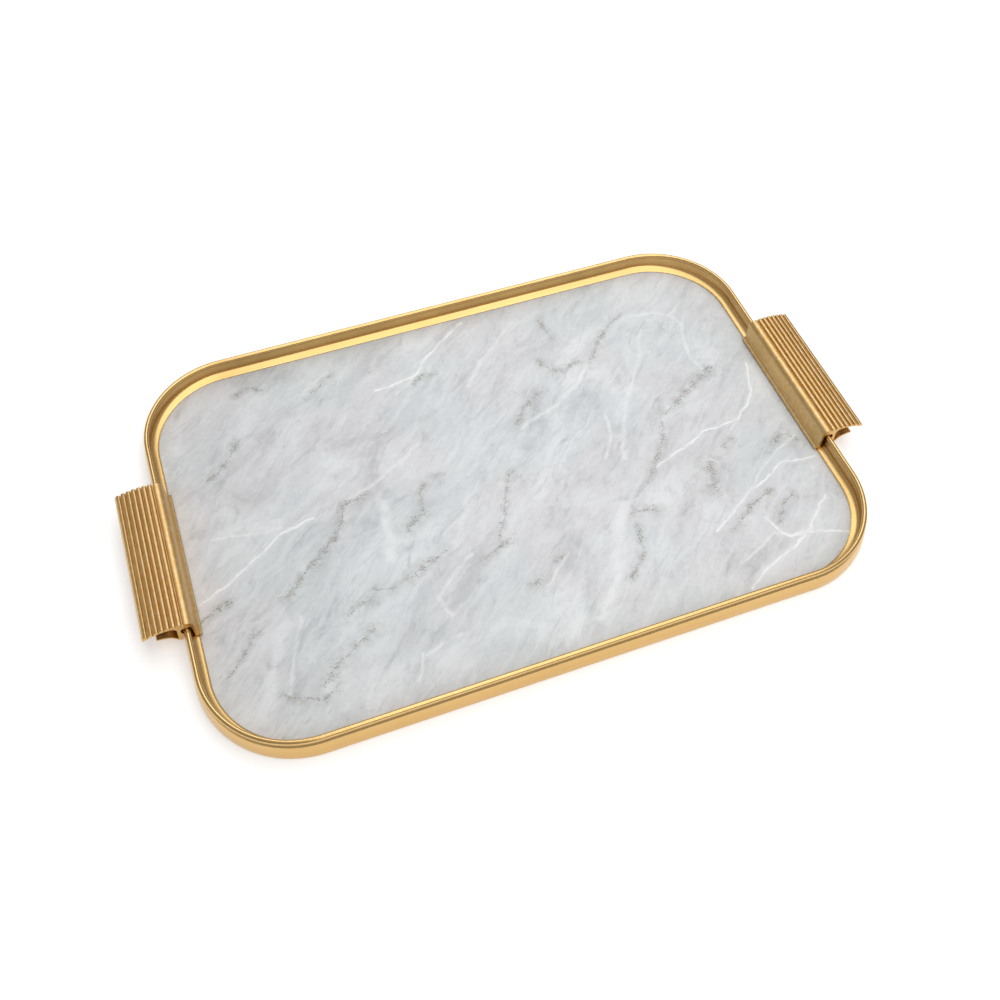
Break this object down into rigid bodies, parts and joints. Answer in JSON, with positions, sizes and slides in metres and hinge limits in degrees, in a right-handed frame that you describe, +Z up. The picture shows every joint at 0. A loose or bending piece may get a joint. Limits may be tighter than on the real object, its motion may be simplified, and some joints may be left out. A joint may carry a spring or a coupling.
{
  "type": "vanity tray",
  "caption": "Low rounded rectangular tray: marble-look laminated board in a beaded gold anodised aluminium rim, with a ribbed grip handle at each end.",
  "frame": {"origin": "centre of the tray in plan, on the plane that the rim rests on", "axes": "+X along the long side to the right handle, +Y across the tray to the rear, +Z up"},
  "size_m": [0.4804, 0.2976, 0.0231],
  "materials": {
    "marble": "satin melamine laminate printed as pale grey veined marble",
    "core": "raw hardboard",
    "backing": "plain matt backing laminate",
    "rim_gold": "gold anodised, satin brushed along its length",
    "handle_gold": "gold anodised, satin",
    "key_steel": "zinc plated strip"
  },
  "bodies": {
    "root": {"backing_laminate": "backing", "board_core": "core", "marble_laminate": "marble", "rim_front": "rim_gold", "rim_rear": "rim_gold", "joint_key_left": "key_steel", "joint_key_right": "key_steel", "handle_left": "handle_gold", "handle_right": "handle_gold"}
  },
  "joints": []
}
